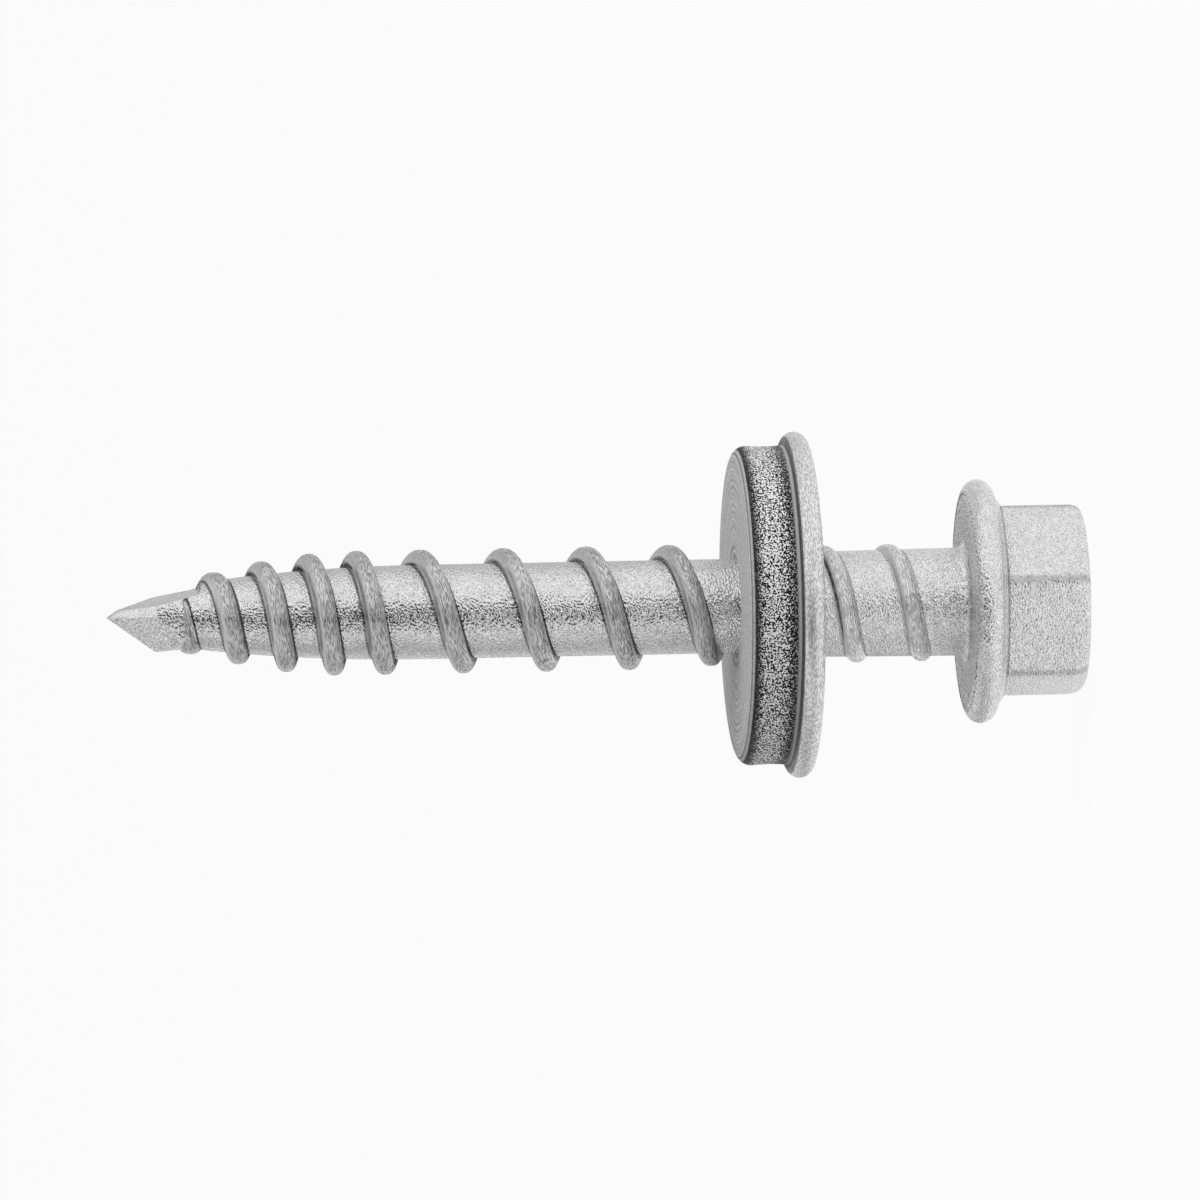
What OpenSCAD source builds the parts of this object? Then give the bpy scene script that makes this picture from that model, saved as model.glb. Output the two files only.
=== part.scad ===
// Double-threaded hex-head wood screw with a captive sealing washer.
// The screw stands on its head: +Z runs from the head to the point, and the origin is
// the centre of the hexagon's end face.

/* [Screw] */
// Length from the flange's bearing face to the tip of the point
screw_length = 38.8; // [34:0.2:60]
// Length under the flange that carries the upper thread and the washer
grip_length = 10.4; // [9.6:0.1:16]
// Diameter of the core under the lower thread
core_d = 4.24; // [3.8:0.02:4.6]
// Diameter of the upper shank
shank_d = 4.68; // [4.4:0.02:4.9]
// How much the upper shank's radius grows on its way to the flange
shank_flare = 0.1; // [0.02:0.02:0.14]
// Fillet where the upper shank meets the flange
flange_fillet = 0.35; // [0.1:0.05:0.4]

/* [Lower thread] */
// Outside diameter of the lower thread
thread_d = 5.6; // [5.5:0.02:6.2]
// Diameter of the lower thread's crest where the pilot ends
crest_start_d = 3.4; // [3.2:0.02:4.4]
// Pitch of the lower thread
thread_pitch = 3.75; // [3:0.05:4.5]
// Pitch of the first turns behind the point
point_pitch = 2.16; // [1.8:0.02:3]
// Turns by which the ridge reaches over the pilot, up to the slash cut
lead_in_turns = 0.26; // [0.1:0.02:0.3]
// Turns that keep the point's pitch
point_turns = 3.6; // [2:0.1:5]
// Turns over which the pitch widens
widening_turns = 0.9; // [0.5:0.1:2]
// Width of the ridge at its root
ridge_w = 1.05; // [0.8:0.05:1.4]

/* [Upper thread] */
// Outside diameter of the upper thread
upper_thread_d = 5.3; // [5.1:0.02:5.4]
// Pitch of the upper thread
upper_pitch = 2.95; // [2.4:0.05:3.4]
// Turns of the upper thread
upper_turns = 2.1; // [1:0.1:2.1]
// Distance from the upper thread's end to the flange
upper_thread_gap = 0.8; // [0.7:0.05:2]
// Width of the upper ridge at its root
upper_ridge_w = 0.95; // [0.6:0.05:1.1]

/* [Point] */
// Diameter of the pilot behind the tip's cone
pilot_d = 3.14; // [2.6:0.02:3.4]
// Length of the tip's cone
tip_length = 2.17; // [1.6:0.01:3]
// Distance from the tip to the start of the lower thread
pilot_length = 3.76; // [3.4:0.02:5]
// Distance from the tip at which the core reaches its full diameter
core_taper_length = 14; // [10:0.5:18]
// Distance from the tip at which the lower thread reaches its full diameter
crest_taper_length = 11; // [8:0.5:18]
// Length of the slash cut, from the tip
slash_length = 4.1; // [2:0.1:4.4]
// Slope of the slash cut against the screw's axis
slash_slope = 12.6; // [8:0.2:24]
// Turn of the slash cut about the axis
slash_turn = -8; // [-60:1:60]
// Distance from the axis at which the slash cut passes the tip
slash_offset = 0.2; // [0.05:0.05:0.4]
// Length of the facet beside the slash cut, which ends where it leaves the pilot
facet_length = 3.4; // [3:0.1:4.4]
// Slope of the facet against the screw's axis
facet_slope = 26.6; // [20:0.2:32]
// Turn of the facet about the axis
facet_turn = 225; // [180:1:270]
// Distance from the axis at which the facet passes the tip
facet_offset = 0.03; // [0.01:0.01:0.1]

/* [Head] */
// Width across the flats of the hexagon
hex_af = 8; // [7:0.1:8.4]
// How far the hexagon's corners are rounded off
hex_corner_cut = 0.12; // [0.02:0.02:0.3]
// Height of the hexagon up to the flange
hex_h = 3.76; // [3:0.02:5]
// Turn of the hexagon about the screw's axis
hex_turn = -17.6; // [-30:0.1:30]
// Rounding at the hexagon's end
hex_round = 0.7; // [0.3:0.05:1]
// Diameter of the flange
flange_d = 11; // [10.4:0.1:12]
// Thickness of the flange
flange_t = 1.54; // [1.3:0.02:2]
// Radius of the flange's rounded rim
flange_rim_r = 0.55; // [0.3:0.05:0.6]

/* [Washer] */
// Diameter of the metal plate
plate_d = 15.6; // [14.8:0.1:19]
// Thickness of the metal plate, whose rim is a full round
plate_t = 1.05; // [0.9:0.05:1.6]
// Diameter of the rubber seal
seal_d = 14.4; // [12:0.1:14.6]
// Thickness of the rubber seal
seal_t = 2.25; // [1.6:0.05:3]
// Rounding of the seal's front edge
seal_edge_r = 0.6; // [0.2:0.05:0.7]
// Depth of the hollow round the seal's side
seal_waist = 0.04; // [0.02:0.02:0.3]
// Radial clearance of the washer over the upper thread
washer_clearance = 0.09; // [0.05:0.01:0.1]
// Radial clearance of the seal's countersunk mouth round the lower thread
mouth_clearance = 0.1; // [0.08:0.02:0.4]
// Chamfer at the plate's bore, towards the flange
plate_chamfer = 0.35; // [0.2:0.05:0.5]

/* [Hidden] */
$fn = 96;

zinc_colour = [0.72, 0.72, 0.72];
rubber_colour = [0.16, 0.16, 0.16];

// Stations along the axis
bearing_z = hex_h + flange_t;
tip_z = bearing_z + screw_length;
grip_z = bearing_z + grip_length;
lower_thread_z = tip_z - pilot_length;
core_full_z = tip_z - core_taper_length;
crest_full_z = tip_z - crest_taper_length;
seal_back_z = grip_z - seal_t;
plate_back_z = seal_back_z - plate_t;

// Radii
core_r = core_d / 2;
shank_r = shank_d / 2;
neck_r = shank_r + shank_flare;
pilot_r = pilot_d / 2;
crest_start_r = crest_start_d / 2;
pilot_heel = 0.12;
pilot_end_r = pilot_r - pilot_heel;
hex_corner_r = hex_af / 2 / cos(30) - hex_corner_cut;
flange_r = flange_d / 2;
bore_r = upper_thread_d / 2 + washer_clearance;
mouth_r = thread_d / 2 + mouth_clearance;

// Length over which the core steps up to the upper shank, behind the seal's front face
shoulder_length = 0.8;
// Straight pieces that make up the core's taper
taper_steps = 6;

// Ridges: rings in a turn, steps over the crest, depth sunk into the core, and the
// turns over which a ridge rises from the core and dies away into it
ring_count = 28;
crest_steps = 7;
sink = 0.3;
run_in_turns = 0.15;
run_out_turns = 0.3;

// Room that a cutting solid has beyond the surface that it cuts
cut_margin = 1;

// Smooth step from 0 to 1
function smooth(t) = let (u = min(max(t, 0), 1)) u * u * (3 - 2 * u);

// Radius of the core at height z along the lower thread, and of the pilot beyond its start
function core_radius(z) =
    let (
        t = min(max((z - core_full_z) / (lower_thread_z - core_full_z), 0), 1),
        along_pilot = max(z - lower_thread_z, 0) / (pilot_length - tip_length)
    )
    core_r + (pilot_end_r - core_r) * t * t + pilot_heel * along_pilot;

// Radius of the lower thread's crest at height z
function lower_crest(z) =
    let (t = min((lower_thread_z - z) / (lower_thread_z - crest_full_z), 1))
    crest_start_r + (thread_d / 2 - crest_start_r) * sin(90 * t);

// Distance that the lower thread has advanced after n turns
widening_end = point_turns + widening_turns;
function lower_advance(n) =
    let (
        widened = min(max(n - point_turns, 0), widening_turns),
        full = max(n - widening_end, 0)
    )
    point_pitch * n + (thread_pitch - point_pitch) * (widened * widened / widening_turns / 2 + full);

// The lower thread dies away just before the seal's front face
lower_length = lower_thread_z - grip_z - ridge_w / 4;
lower_turns = widening_end + (lower_length - lower_advance(widening_end)) / thread_pitch;

// The upper thread starts behind the washer and dies away before the flange
upper_end_z = bearing_z + upper_thread_gap;
upper_start_z = upper_end_z + upper_turns * upper_pitch;
upper_start_turn = 0.8;

// Share of the full ridge at turn n: it rises at the start and dies away at the end
function ridge_share(n, start, end) = smooth((n - start) / run_in_turns) * smooth((end - n) / run_out_turns);

// Height of the ridge above the core, just below the surface where the share is nothing
function ridge_height(full, share) = full * share - sink / 2 * (1 - share);

// One section of a ridge: a half ellipse whose base lies below the core's surface
function ridge_section(angle, z, base_r, height, width) = [
    for (k = [0 : crest_steps])
        let (
            a = 180 * k / crest_steps,
            r = base_r - sink + (height + sink) * sin(a)
        )
        [r * cos(angle), r * sin(angle), z + width / 2 * cos(a)]
];

// Closed solid through a row of sections that all have the same number of points
module loft(sections) {
    n = len(sections[0]);
    last = len(sections) - 1;
    points = [for (section = sections) each section];
    sides = [
        for (i = [0 : last - 1])
            for (k = [0 : n - 1])
                let (m = (k + 1) % n)
                each [
                    [i * n + k, i * n + m, (i + 1) * n + k],
                    [i * n + m, (i + 1) * n + m, (i + 1) * n + k]
                ]
    ];
    start_cap = [for (k = [n - 1 : -1 : 0]) k];
    end_cap = [for (k = [0 : n - 1]) last * n + k];
    polyhedron(points, concat(sides, [start_cap, end_cap]));
}

// Right-hand ridge that starts at the slash cut and leaves the pilot under the core's lower side
module lower_thread() {
    rings = ceil((lower_turns + lead_in_turns) * ring_count);
    loft([
        for (i = [0 : rings])
            let (
                n = (lower_turns + lead_in_turns) * i / rings - lead_in_turns,
                z = lower_thread_z - lower_advance(n),
                base_r = core_radius(z),
                share = ridge_share(n, -lead_in_turns, lower_turns),
                height = ridge_height(lower_crest(z) - base_r, share)
            )
            ridge_section(180 - 360 * n, z, base_r, height, ridge_w)
    ]);
}

// Right-hand ridge on the upper shank
module upper_thread() {
    rings = ceil(upper_turns * ring_count);
    loft([
        for (i = [0 : rings])
            let (
                n = upper_turns * i / rings,
                z = upper_start_z - upper_pitch * n,
                height = ridge_height(upper_thread_d / 2 - shank_r, ridge_share(n, 0, upper_turns))
            )
            ridge_section(-360 * (upper_start_turn + n), z, shank_r, height, upper_ridge_w)
    ]);
}

// Half section of the shank: tip cone, pilot, tapered core, upper shank and neck fillet
module shank_profile() {
    taper = [
        for (i = [0 : taper_steps])
            let (z = lower_thread_z + (core_full_z - lower_thread_z) * i / taper_steps)
            [core_radius(z), z]
    ];
    polygon(concat(
        [[0, tip_z], [pilot_r, tip_z - tip_length]],
        taper,
        [
            [core_r, grip_z],
            [shank_r, grip_z - shoulder_length],
            [neck_r, bearing_z + flange_fillet],
            [neck_r, hex_h],
            [0, hex_h]
        ]
    ));
    difference() {
        translate([0, bearing_z])
            square([neck_r + flange_fillet, flange_fillet]);
        translate([neck_r + flange_fillet, bearing_z + flange_fillet])
            circle(flange_fillet);
    }
}

// Half section of the flange: a round rim, flat below and sloping to the hexagon above
module flange_profile() {
    rim_r = flange_r - flange_rim_r;
    translate([rim_r, bearing_z - flange_rim_r])
        circle(flange_rim_r);
    polygon([
        [0, bearing_z],
        [rim_r, bearing_z],
        [rim_r, bearing_z - 2 * flange_rim_r],
        [hex_corner_r, hex_h],
        [0, hex_h]
    ]);
}

// Half section that rounds the hexagon's corners and end
module hex_profile() {
    square([hex_corner_r - hex_round, bearing_z - flange_rim_r]);
    translate([hex_corner_r - hex_round, hex_round])
        circle(hex_round);
    translate([0, hex_round])
        square([hex_corner_r, bearing_z - flange_rim_r - hex_round]);
}

module hex_head() {
    intersection() {
        rotate([0, 0, hex_turn])
            cylinder(h = bearing_z, d = hex_af / cos(30), $fn = 6);
        rotate_extrude()
            hex_profile();
    }
}

// Wedge that cuts one side of the point along a plane, with a steep end wall
module point_cutter(length, slope, turn, offset) {
    run = length * tan(slope);
    rotate([0, 0, turn])
        translate([offset, 0, tip_z])
            rotate([90, 0, 0])
                linear_extrude(thread_d, center = true)
                    polygon([
                        [-cut_margin * tan(slope), cut_margin],
                        [run, -length],
                        [run + thread_d, -length - thread_d / 2],
                        [run + thread_d, cut_margin]
                    ]);
}

module screw() {
    color(zinc_colour)
    difference() {
        union() {
            rotate_extrude() {
                shank_profile();
                flange_profile();
            }
            hex_head();
            lower_thread();
            upper_thread();
        }
        point_cutter(slash_length, slash_slope, slash_turn, slash_offset);
        point_cutter(facet_length, facet_slope, facet_turn, facet_offset);
    }
}

module washer_plate() {
    rim_r = plate_t / 2;
    color(zinc_colour)
    rotate_extrude()
    difference() {
        union() {
            translate([bore_r, plate_back_z])
                square([plate_d / 2 - rim_r - bore_r, plate_t]);
            translate([plate_d / 2 - rim_r, plate_back_z + rim_r])
                circle(rim_r);
        }
        polygon([
            [bore_r, plate_back_z],
            [bore_r + plate_chamfer, plate_back_z],
            [bore_r, plate_back_z + plate_chamfer]
        ]);
    }
}

// Half section of the seal, with a hollow side, a round front edge and a countersunk mouth
module seal_profile() {
    side = seal_t - seal_edge_r;
    waist_r = (side * side / 4 + seal_waist * seal_waist) / (2 * seal_waist);
    front_r = seal_d / 2 - seal_edge_r;
    difference() {
        union() {
            translate([bore_r, seal_back_z])
                square([seal_d / 2 - bore_r, side]);
            translate([bore_r, seal_back_z])
                square([front_r - bore_r, seal_t]);
            translate([front_r, grip_z - seal_edge_r])
                circle(seal_edge_r);
        }
        translate([seal_d / 2 - seal_waist + waist_r, seal_back_z + side / 2])
            circle(waist_r);
        polygon([
            [bore_r, grip_z],
            [mouth_r, grip_z],
            [bore_r, grip_z - (mouth_r - bore_r)]
        ]);
    }
}

module washer_seal() {
    color(rubber_colour)
    rotate_extrude()
        seal_profile();
}

screw();
washer_plate();
washer_seal();
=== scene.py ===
"""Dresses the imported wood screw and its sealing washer, and sets them on a pale studio stage.

The screw stands on its head with its point up the Z axis. The camera is rolled by a quarter
turn, so the screw lies across the picture with its point to the left.
"""
import math

import bpy
import numpy as np
from bpy.props import FloatProperty, FloatVectorProperty, IntProperty, PointerProperty
from bpy.types import Operator, Panel, PropertyGroup
from mathutils import Matrix, Vector


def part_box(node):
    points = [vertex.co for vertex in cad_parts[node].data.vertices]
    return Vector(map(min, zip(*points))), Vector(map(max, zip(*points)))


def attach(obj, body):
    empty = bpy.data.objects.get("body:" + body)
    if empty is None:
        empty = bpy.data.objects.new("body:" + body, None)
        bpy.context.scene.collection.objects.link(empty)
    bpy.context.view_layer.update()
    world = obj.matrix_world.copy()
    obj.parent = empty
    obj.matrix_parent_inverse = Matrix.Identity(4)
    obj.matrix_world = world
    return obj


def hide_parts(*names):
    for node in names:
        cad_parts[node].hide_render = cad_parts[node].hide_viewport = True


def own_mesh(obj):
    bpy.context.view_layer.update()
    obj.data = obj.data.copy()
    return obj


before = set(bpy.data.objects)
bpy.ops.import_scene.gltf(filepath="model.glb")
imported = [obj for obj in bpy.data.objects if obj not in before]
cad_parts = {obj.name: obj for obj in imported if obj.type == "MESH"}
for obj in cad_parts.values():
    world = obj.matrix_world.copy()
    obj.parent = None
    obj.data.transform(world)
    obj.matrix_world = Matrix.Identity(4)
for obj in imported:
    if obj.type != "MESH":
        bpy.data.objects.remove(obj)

bl_info = {
    "name": "Double-Threaded Wood Screw",
    "version": (1, 0, 0),
    "blender": (4, 5, 0),
    "location": "View3D > Sidebar > Wood Screw",
    "description": "Makes the screw, its sealing washer and a studio stage round the packed model",
    "category": "Add Mesh",
}

MM = 0.001
TURN = 2.0 * math.pi
SIXTH = TURN / 6.0
GRAIN_GROUP = "Rolled Grain"
WHITE = (1.0, 1.0, 1.0, 1.0)

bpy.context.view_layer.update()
SCREW_LOW, SCREW_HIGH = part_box("screw")
PLATE_LOW, PLATE_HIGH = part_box("washer_plate")
SEAL_LOW, SEAL_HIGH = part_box("washer_seal")

# Meshes: the gap below which two points are one, the angle of a sharp edge in degrees, the
# samples along the lower thread, and the turn at which that thread starts.
SAME_POINT = 1e-9
SHARP_EDGE = 32.0
THREAD_SAMPLES = 400
LOWER_START = 0.5

# How far each grain is drawn out round the axis.
CORE_STRETCH = 1.5
STREAK_STRETCH = 9.0
DENT_STRETCH = 1.4
PLATE_STRETCH = 3.0

# Limits of a noise or a grain between which a tone goes from one end to the other.
GRAIN_LIMITS = (0.38, 0.62)
LUMP_LIMITS = (0.3, 0.7)
PIT_LIMITS = (0.0, 0.6)
SPECK_LIMITS = (0.32, 0.68)
LUMP_HEIGHT = 0.3

# Marks across a ridge, in half widths from its middle, and the half widths at which it shows.
CREST_LIMITS = (0.75, 1.0)
FLANK_OUTER = (-1.05, -0.9)
FLANK_INNER = (-0.6, -0.3)
RIDGE_SHOWS = (0.1 * MM, 0.4 * MM)

# Distances over which painted shade lines fade, and the height below which the hexagon's edges have one.
HEAD_ROOT = (0.03 * MM, 0.065 * MM)
TIP_ROOT = (0.025 * MM, 0.06 * MM)
HEX_EDGE = (0.05 * MM, 0.32 * MM)
HEX_SEAM = (0.02 * MM, 0.12 * MM)
HEX_EDGE_END = 0.2 * MM

# Shares of the full tone that pits, wear, the painted shade lines and the painted shade on a ridge's flank
# take away.
TIP_ROOT_SHADE_DEPTH = 0.75
HEX_EDGE_SHADE = 0.32
HEX_SEAM_SHADE = 0.6
UPPER_ROOT_SHADE = 0.5
LOWER_ROOT_SHADE = 0.45
CORE_PITS = 0.36
CREST_PITS = 0.24
FLANK_PITS = 0.7
PLATE_PITS = 0.42
CREST_DULL = 0.16
FLANK_SHADE = 0.2
FLANK_RELIEF = 0.85
LUMP_TONE = 0.88

# Roughness of the zinc between its lumps and on them, and what the lower crest adds.
SCREW_ROUGH = (0.1, 0.2)
PLATE_ROUGH = (0.4, 0.5)
CREST_ROUGH = 0.2

# Painted contact shadow on the plate: distances below its seal, and the tone of the shadow.
PLATE_CONTACT_SHADE = (0.14 * MM, 0.08 * MM)
PLATE_CONTACT_SHADE_TONE = 0.15

# Lines round the seal, of which the edge and rim lines are painted shade along its rounded front
# edge: distances below its face, widths over which they fade, and tones.
EDGE_LINE = 0.17 * MM
EDGE_BLUR = 0.02 * MM
EDGE_FADE = (0.06 * MM, 0.48 * MM)
EDGE_SHADE_TONE = 0.1
RIM_LINE = 0.06 * MM
RIM_FADE = (0.015 * MM, 0.035 * MM)
RIM_SHADE_TONE = 0.35
BACK_FADE = (0.08 * MM, 0.2 * MM)
BACK_TONE = 0.5
LIP_FADE = (0.25 * MM, 0.05 * MM)

# Specks on the seal's side, thickest along its middle as a painted highlight and fewer towards its
# edges as painted shade: shares of its width, and what is added to the grain there.
SIDE_HIGHLIGHT_MIDDLE = 0.6
SIDE_HIGHLIGHT_REACH = (0.08, 0.46)
SIDE_HIGHLIGHT_GAIN = (0.1, -0.52)
RING_TONE = 0.6
DUST_TONE = 0.78
FACE_TONE = 0.85

# Stage: lengths and places in metres, and the shares of plain white in the floor and the world.
FLOOR_HALF = 40.0
FLOOR_DROP = 0.02 * MM
FLOOR_PLAIN = 0.93
FLOOR_COLOUR = (0.9, 0.9, 0.9, 1.0)
WORLD_SEEN = 0.98
LAMP_AIM = (0.0, 0.0, 22.0 * MM)
KEY_PLACE = (0.26, -0.12, 0.18)
KEY_SIDE = 0.4
FILL_PLACE = (-0.2, -0.25, 0.14)
FILL_SIDE = 0.3
CARD_HEIGHT = 70.0 * MM
CARD_BLEND = 3.0 * MM
CARD_CORNERS = MM * np.array(
    [(3.5, -30.0), (-18.0, -30.0), (-32.0, -8.0), (-40.0, 37.0), (-9.0, 37.0), (6.0, 37.0), (37.0, 5.0)]
)
CAMERA_CLIP = 0.01


def length(name, description, default):
    """A length that the user can set, in metres."""
    return FloatProperty(name=name, description=description, default=default, unit="LENGTH", precision=5)


def angle(name, description, degrees):
    """An angle that the user can set, given here in degrees."""
    return FloatProperty(name=name, description=description, default=math.radians(degrees), subtype="ANGLE")


def number(name, description, default):
    """A plain number that the user can set."""
    return FloatProperty(name=name, description=description, default=default)


def grey(name, description, level):
    """A neutral colour that the user can set."""
    return FloatVectorProperty(
        name=name, description=description, default=(level, level, level), subtype="COLOR", min=0.0, max=1.0
    )


def levels(name, place, foot, above):
    """The brightness of a card that the user can set, at its foot and above."""
    return FloatVectorProperty(
        name=name, description="Brightness of the card %s the screw, at its foot and above" % place,
        default=(foot, above), size=2
    )


class ScrewSizes(PropertyGroup):
    """Sizes of the screw's head, shank, threads and point."""

    hex_af: length("Across flats", "Width across the flats of the hexagon", 8.0 * MM)
    hex_corner_cut: length("Corner cut", "How far the hexagon's corners are rounded off", 0.12 * MM)
    hex_height: length("Hexagon height", "Height of the hexagon up to the flange", 3.76 * MM)
    hex_round: length("End rounding", "Rounding at the hexagon's end", 0.7 * MM)
    hex_blend: length("Edge blend", "Softness of the hexagon's edges", 0.14 * MM)
    hex_turn: angle("Hexagon turn", "Turn of the hexagon about the screw's axis", -17.6)
    flange_r: length("Flange radius", "Outside radius of the flange", (SCREW_HIGH.x - SCREW_LOW.x) / 2.0)
    flange_t: length("Flange thickness", "Thickness of the flange", 1.54 * MM)
    flange_rim: length("Flange rim", "Radius of the flange's rounded rim", 0.64 * MM)
    flange_crease: length("Flange crease", "Width of the crease inside the rim", 0.14 * MM)
    flange_fillet: length("Neck fillet", "Fillet where the shank meets the flange", 0.35 * MM)
    tip_z: length("Tip height", "Height of the point's tip above the head's end", SCREW_HIGH.z)
    grip_z: length("Grip height", "Height at which the lower thread ends", SEAL_HIGH.z)
    shank_r: length("Shank radius", "Radius of the upper shank", 2.34 * MM)
    neck_r: length("Neck radius", "Radius of the upper shank at the flange", 2.44 * MM)
    core_r: length("Core radius", "Radius of the core under the lower thread", 2.12 * MM)
    shoulder: length("Shoulder", "Length over which the core steps up to the upper shank", 0.8 * MM)
    core_taper: length("Core taper", "Distance from the tip to the core's full radius", 14.0 * MM)
    crest_taper: length("Crest taper", "Distance from the tip to the thread's full radius", 11.0 * MM)
    crest_start_r: length("Crest start", "Radius of the crest where the pilot ends", 1.7 * MM)
    pilot_r: length("Pilot radius", "Radius at the corner of the tip's cone", 1.57 * MM)
    pilot_end_r: length("Pilot heel", "Radius of the pilot where the thread starts", 1.45 * MM)
    pilot_length: length("Pilot length", "Distance from the tip to the thread's start", 3.76 * MM)
    cone_length: length("Cone length", "Length of the tip's cone", 2.17 * MM)
    slash_length: length("Slash length", "Length of the slash cut from the tip", 4.1 * MM)
    slash_slope: angle("Slash slope", "Slope of the slash cut against the axis", 12.6)
    slash_turn: angle("Slash turn", "Turn of the slash cut about the axis", -8.0)
    slash_offset: length("Slash offset", "Distance of the slash cut from the axis at the tip", 0.2 * MM)
    facet_length: length("Facet length", "Length of the facet beside the slash cut", 3.4 * MM)
    facet_slope: angle("Facet slope", "Slope of the facet against the axis", 26.6)
    facet_turn: angle("Facet turn", "Turn of the facet about the axis", 225.0)
    facet_offset: length("Facet offset", "Distance of the facet from the axis at the tip", 0.03 * MM)
    thread_r: length("Thread radius", "Outside radius of the lower thread", 2.8 * MM)
    thread_pitch: length("Pitch", "Pitch of the lower thread", 3.75 * MM)
    point_pitch: length("Point pitch", "Pitch of the first turns behind the point", 2.16 * MM)
    point_turns: number("Point turns", "Turns that keep the point's pitch", 3.6)
    widening_turns: number("Widening turns", "Turns over which the pitch widens", 0.9)
    lead_in: number("Lead-in turns", "Turns by which the ridge reaches over the pilot", 0.26)
    ridge_width: length("Ridge width", "Width of the lower thread's ridge at its root", 1.05 * MM)
    ridge_power: number("Ridge power", "Power of a ridge's section, 2 for an ellipse", 2.5)
    upper_thread_r: length("Upper thread radius", "Outside radius of the upper thread", 2.65 * MM)
    upper_pitch: length("Upper pitch", "Pitch of the upper thread", 2.95 * MM)
    upper_turns: number("Upper turns", "Turns of the upper thread", 2.1)
    upper_start: number("Upper start", "Turn at which the upper thread starts", 0.8)
    upper_gap: length("Upper gap", "Distance from the upper thread's end to the flange", 0.8 * MM)
    upper_ridge_width: length("Upper ridge width", "Width of the upper ridge at its root", 0.95 * MM)
    sink: length("Ridge sink", "Depth of a ridge's base below the core", 0.3 * MM)
    run_in: number("Run-in", "Turns over which a ridge rises", 0.15)
    run_out: number("Run-out", "Turns over which a ridge dies away", 0.3)
    columns: IntProperty(name="Columns", description="Points round the screw", default=144, min=12)
    ring_count: IntProperty(name="Rings", description="Ridge sections in a turn", default=80, min=12)
    crest_steps: IntProperty(name="Crest steps", description="Steps over a crest", default=22, min=4)


class WasherSizes(PropertyGroup):
    """Sizes of the washer's plate and seal that their boxes don't give."""

    bore_r: length("Bore radius", "Radius of the washer's bore", 2.74 * MM)
    plate_chamfer: length("Plate chamfer", "Chamfer at the plate's bore", 0.35 * MM)
    seal_edge: length("Seal edge", "Rounding of the seal's front edge", 0.6 * MM)
    seal_waist: length("Seal waist", "Depth of the hollow round the seal's side", 0.04 * MM)
    lip_r: length("Lip radius", "Radius of the soft lip that hugs the screw's core", 2.2 * MM)
    lip_t: length("Lip thickness", "Thickness of the soft lip", 0.3 * MM)
    lip_step: length("Lip step", "Depth of the soft lip below the seal's face", 0.03 * MM)
    lip_root: length("Lip root", "Depth to which the soft lip is rooted in the seal's bore", 0.1 * MM)
    lip_keep: number("Lip keep", "Share of the lip's width that the slide leaves", 0.08)
    columns: IntProperty(name="Columns", description="Points round the washer", default=192, min=12)


class FinishColours(PropertyGroup):
    """Colours, grain and relief of the zinc and the rubber."""

    zinc_light: grey("Light zinc", "Zinc on the grain's high spots", 0.88)
    # Dark zinc is also the painted shade in the lines along the thread's roots, the hexagon's edges and
    # seam, on the ridges' point-side flanks and on the plate under the seal.
    zinc_dark: grey("Dark zinc", "Zinc in the grain's pits and in the thread's roots", 0.07)
    # Dark rubber is also the painted shade along the seal's rounded front edge and towards its side's edges.
    rubber_dark: grey("Dark rubber", "Rubber in the grain's pits", 0.012)
    # The bright specks also carry the painted highlight along the middle of the seal's side.
    rubber_light: grey("Light rubber", "Bright specks on the rubber's side", 0.95)
    # The face's pale colour is dust and a painted sheen.
    rubber_dust_and_sheen: grey("Dusty rubber", "Dust on the rubber's face", 0.9)
    grain: length("Grain", "Size of the zinc's frosted grain", 0.05 * MM)
    streak: length("Streak", "Width of the streaks along a crest", 0.0325 * MM)
    dent: length("Dent", "Size of the dents in the screw's zinc", 0.08 * MM)
    stipple: length("Stipple", "Size of the specks on the rubber", 0.071 * MM)
    dust: length("Dust", "Size of the dust on the rubber's face", 0.11 * MM)
    ring: length("Ring", "Width of the moulded rings on the rubber's face", 0.16 * MM)
    screw_relief: length("Screw relief", "Height of the screw's dents", 0.0525 * MM)
    plate_relief: length("Plate relief", "Height of the plate's grain", 0.015 * MM)
    seal_relief: length("Seal relief", "Height of the rubber's grain", 0.0125 * MM)


class StageSettings(PropertyGroup):
    """Camera and light of the studio stage."""

    yaw: angle("Yaw", "Turn of the view towards the point's end", 5.8)
    roll: angle("Roll", "Slope of the screw across the picture", -1.1)
    picture_width: length("Picture width", "Width that the picture shows at the screw", 54.0 * MM)
    lens: FloatProperty(name="Lens", description="Focal length", default=800.0, unit="CAMERA")
    target: FloatVectorProperty(
        name="Target", description="Point at the picture's centre",
        default=(0.38 * MM, 0.0, 21.8 * MM), subtype="XYZ"
    )
    key_power: FloatProperty(name="Key", description="Power of the key light", default=0.7, unit="POWER")
    fill_power: FloatProperty(name="Fill", description="Power of the fill light", default=0.03, unit="POWER")
    front_card: levels("Front card", "before and behind", 0.72, 0.015)
    side_card: levels("Side card", "before and below", 0.64, 0.85)
    lower_card: levels("Lower card", "below", 0.52, 0.5)
    back_card: levels("Back card", "behind and below", 0.5, 0.85)
    upper_card: levels("Upper card", "above and behind", 0.85, 0.66)
    ambient: number("Ambient", "Strength of the world's light on matt surfaces", 0.42)


def smooth_step(t):
    """Three t squared less two t cubed, with t held between 0 and 1."""
    u = np.clip(t, 0.0, 1.0)
    return u * u * (3.0 - 2.0 * u)


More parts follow.
